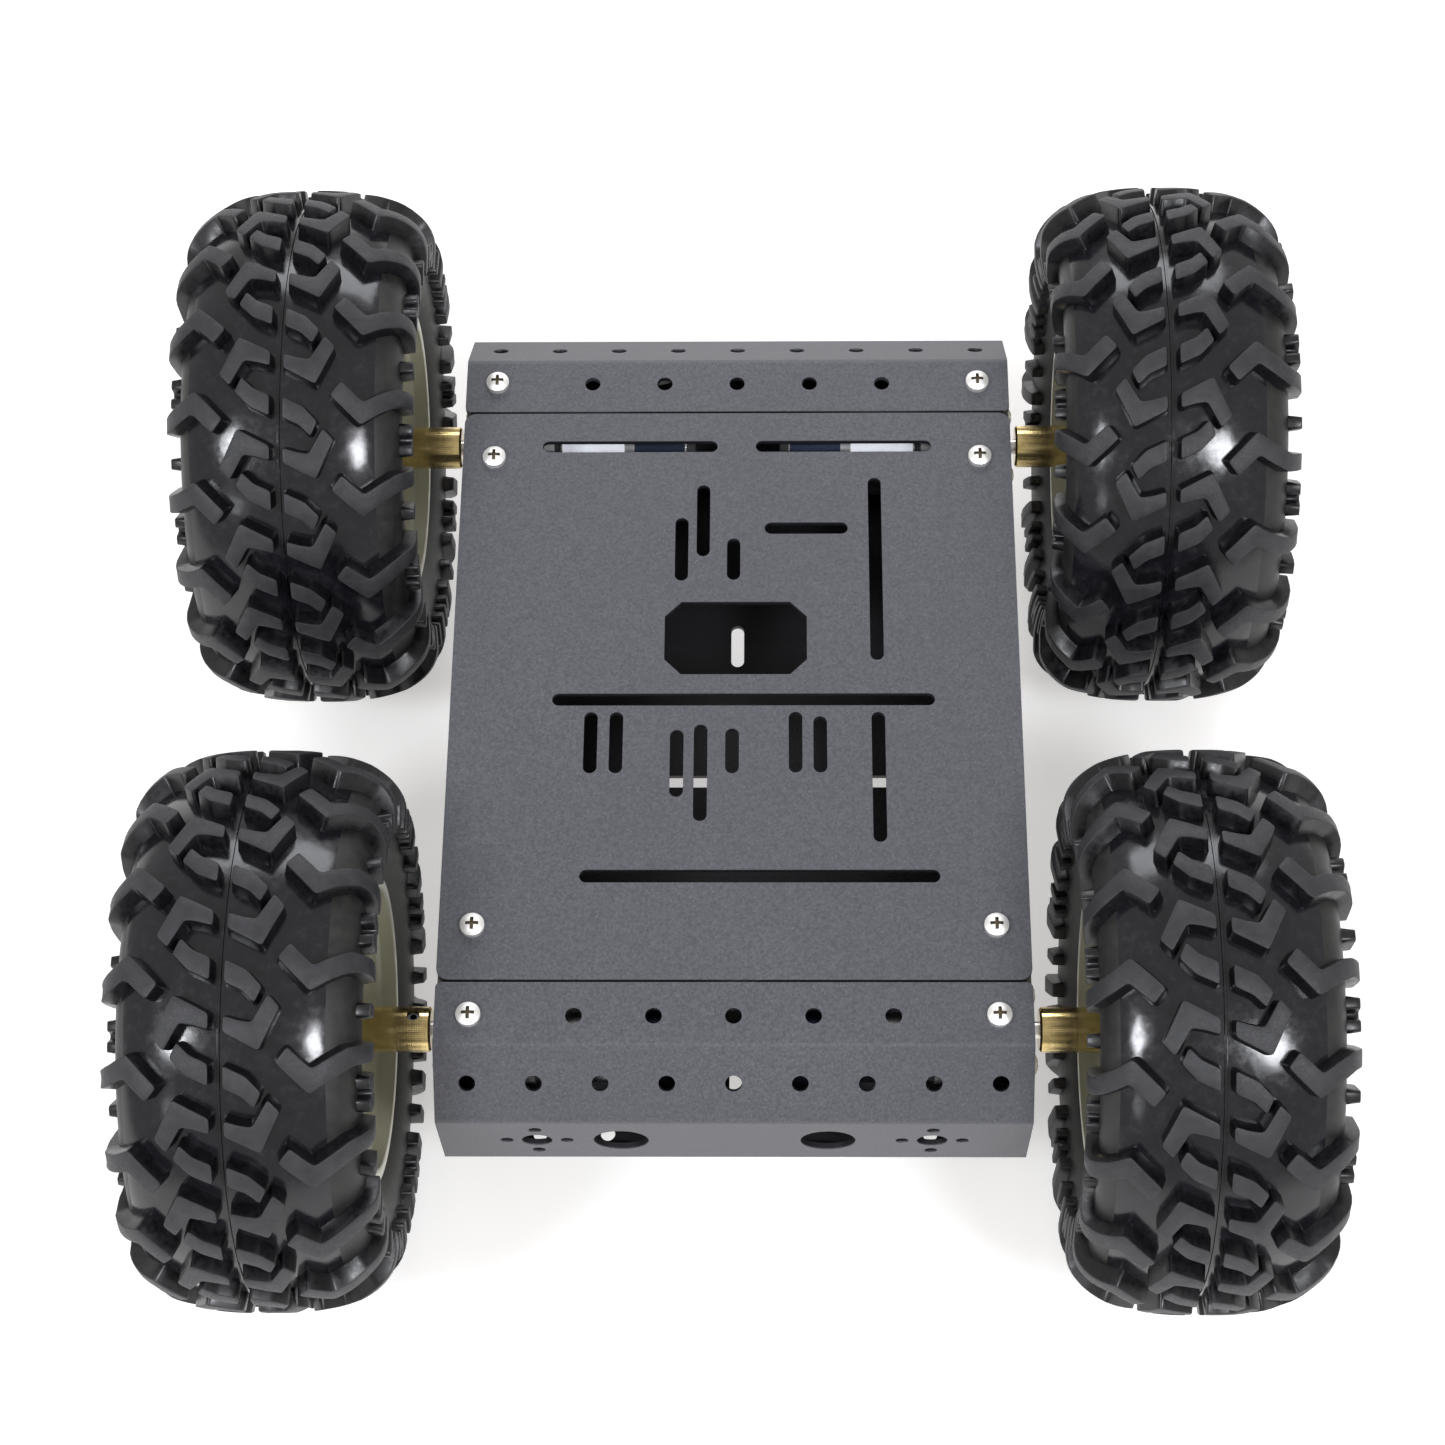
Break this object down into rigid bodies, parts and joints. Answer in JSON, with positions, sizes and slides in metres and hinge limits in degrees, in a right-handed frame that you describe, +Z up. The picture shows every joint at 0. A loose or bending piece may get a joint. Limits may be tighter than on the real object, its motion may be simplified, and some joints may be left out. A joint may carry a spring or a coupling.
{
  "type": "four wheel robot chassis",
  "caption": "Folded sheet metal robot chassis with slotted deck, geared motors, brass shaft couplings and off-road wheels.",
  "frame": {"origin": "on the floor, under the middle of the body, midway between the axles", "axes": "+Z up, -Y towards the front cover, +X to the right of an observer who looks along +Y"},
  "size_m": [0.272, 0.288, 0.13],
  "materials": {
    "coat": "dark grey powder coat with a fine speckled texture",
    "steel": "bright plated steel",
    "black_steel": "blackened steel",
    "brass": "turned brass, slightly dulled",
    "dark_steel": "blued steel, dark",
    "gearbox_metal": "satin plated steel",
    "motor_metal": "satin plated steel",
    "tyre": "black rubber, glossy between the lugs and matt on them",
    "foam": "open cell foam",
    "rim_plastic": "off-white moulded plastic, satin",
    "black_plastic": "moulded black plastic",
    "ferrite": "matt ferrite",
    "copper": "lacquered copper winding"
  },
  "bodies": {
    "chassis": {"base_tray": "coat", "top_plate": "coat", "front_cover": "coat", "rear_cover": "coat", "plate_screws": "steel", "cover_screws": "steel", "press_nuts": "steel", "motor_screws": "steel", "gearbox_plates": "black_plastic", "idler_pins": "steel", "motor_magnets": "ferrite", "motor_caps": "black_plastic", "motor_terminals": "brass", "flux_rings": "dark_steel", "fl_gearbox": "gearbox_metal", "fl_motor_can": "motor_metal", "fr_gearbox": "gearbox_metal", "fr_motor_can": "motor_metal", "rl_gearbox": "gearbox_metal", "rl_motor_can": "motor_metal", "rr_gearbox": "gearbox_metal", "rr_motor_can": "motor_metal"},
    "front_left_wheel": {"fl_tyre": "tyre", "fl_foam_insert": "foam", "fl_rim": "rim_plastic", "fl_coupling": "brass", "fl_set_screws": "black_steel", "fl_wheel_screw": "steel", "fl_output_shaft": "steel"},
    "front_left_cluster": {"fl_cluster_gear": "brass"},
    "front_left_rotor": {"fl_rotor": "copper"},
    "front_right_wheel": {"fr_tyre": "tyre", "fr_foam_insert": "foam", "fr_rim": "rim_plastic", "fr_coupling": "brass", "fr_set_screws": "black_steel", "fr_wheel_screw": "steel", "fr_output_shaft": "steel"},
    "front_right_cluster": {"fr_cluster_gear": "brass"},
    "front_right_rotor": {"fr_rotor": "copper"},
    "rear_left_wheel": {"rl_tyre": "tyre", "rl_foam_insert": "foam", "rl_rim": "rim_plastic", "rl_coupling": "brass", "rl_set_screws": "black_steel", "rl_wheel_screw": "steel", "rl_output_shaft": "steel"},
    "rear_left_cluster": {"rl_cluster_gear": "brass"},
    "rear_left_rotor": {"rl_rotor": "copper"},
    "rear_right_wheel": {"rr_tyre": "tyre", "rr_foam_insert": "foam", "rr_rim": "rim_plastic", "rr_coupling": "brass", "rr_set_screws": "black_steel", "rr_wheel_screw": "steel", "rr_output_shaft": "steel"},
    "rear_right_cluster": {"rr_cluster_gear": "brass"},
    "rear_right_rotor": {"rr_rotor": "copper"}
  },
  "joints": [
    {"name": "front_left_wheel_spin", "type": "hinge", "parent": "chassis", "child": "front_left_wheel", "pos_m": [-0.106, -0.079, 0.065], "axis": [1, 0, 0], "continuous": true},
    {"name": "front_right_wheel_spin", "type": "hinge", "parent": "chassis", "child": "front_right_wheel", "pos_m": [0.106, -0.079, 0.065], "axis": [1, 0, 0], "continuous": true},
    {"name": "rear_left_wheel_spin", "type": "hinge", "parent": "chassis", "child": "rear_left_wheel", "pos_m": [-0.106, 0.079, 0.065], "axis": [1, 0, 0], "continuous": true},
    {"name": "rear_right_wheel_spin", "type": "hinge", "parent": "chassis", "child": "rear_right_wheel", "pos_m": [0.106, 0.079, 0.065], "axis": [1, 0, 0], "continuous": true},
    {"name": "front_left_cluster_spin", "type": "hinge", "parent": "chassis", "child": "front_left_cluster", "pos_m": [-0.052, -0.079, 0.07115], "axis": [1, 0, 0], "continuous": true},
    {"name": "front_left_rotor_spin", "type": "hinge", "parent": "chassis", "child": "front_left_rotor", "pos_m": [-0.03, -0.079, 0.065], "axis": [1, 0, 0], "continuous": true},
    {"name": "front_right_cluster_spin", "type": "hinge", "parent": "chassis", "child": "front_right_cluster", "pos_m": [0.052, -0.079, 0.07115], "axis": [1, 0, 0], "continuous": true},
    {"name": "front_right_rotor_spin", "type": "hinge", "parent": "chassis", "child": "front_right_rotor", "pos_m": [0.03, -0.079, 0.065], "axis": [1, 0, 0], "continuous": true},
    {"name": "rear_left_cluster_spin", "type": "hinge", "parent": "chassis", "child": "rear_left_cluster", "pos_m": [-0.052, 0.079, 0.07115], "axis": [1, 0, 0], "continuous": true},
    {"name": "rear_left_rotor_spin", "type": "hinge", "parent": "chassis", "child": "rear_left_rotor", "pos_m": [-0.03, 0.079, 0.065], "axis": [1, 0, 0], "continuous": true},
    {"name": "rear_right_cluster_spin", "type": "hinge", "parent": "chassis", "child": "rear_right_cluster", "pos_m": [0.052, 0.079, 0.07115], "axis": [1, 0, 0], "continuous": true},
    {"name": "rear_right_rotor_spin", "type": "hinge", "parent": "chassis", "child": "rear_right_rotor", "pos_m": [0.03, 0.079, 0.065], "axis": [1, 0, 0], "continuous": true}
  ],
  "couplings": [
    {"joint": "front_left_cluster_spin", "follows": "front_left_wheel_spin", "ratio": -3.1},
    {"joint": "front_left_rotor_spin", "follows": "front_left_wheel_spin", "ratio": 9.61},
    {"joint": "front_right_cluster_spin", "follows": "front_right_wheel_spin", "ratio": -3.1},
    {"joint": "front_right_rotor_spin", "follows": "front_right_wheel_spin", "ratio": 9.61},
    {"joint": "rear_left_cluster_spin", "follows": "rear_left_wheel_spin", "ratio": -3.1},
    {"joint": "rear_left_rotor_spin", "follows": "rear_left_wheel_spin", "ratio": 9.61},
    {"joint": "rear_right_cluster_spin", "follows": "rear_right_wheel_spin", "ratio": -3.1},
    {"joint": "rear_right_rotor_spin", "follows": "rear_right_wheel_spin", "ratio": 9.61}
  ]
}
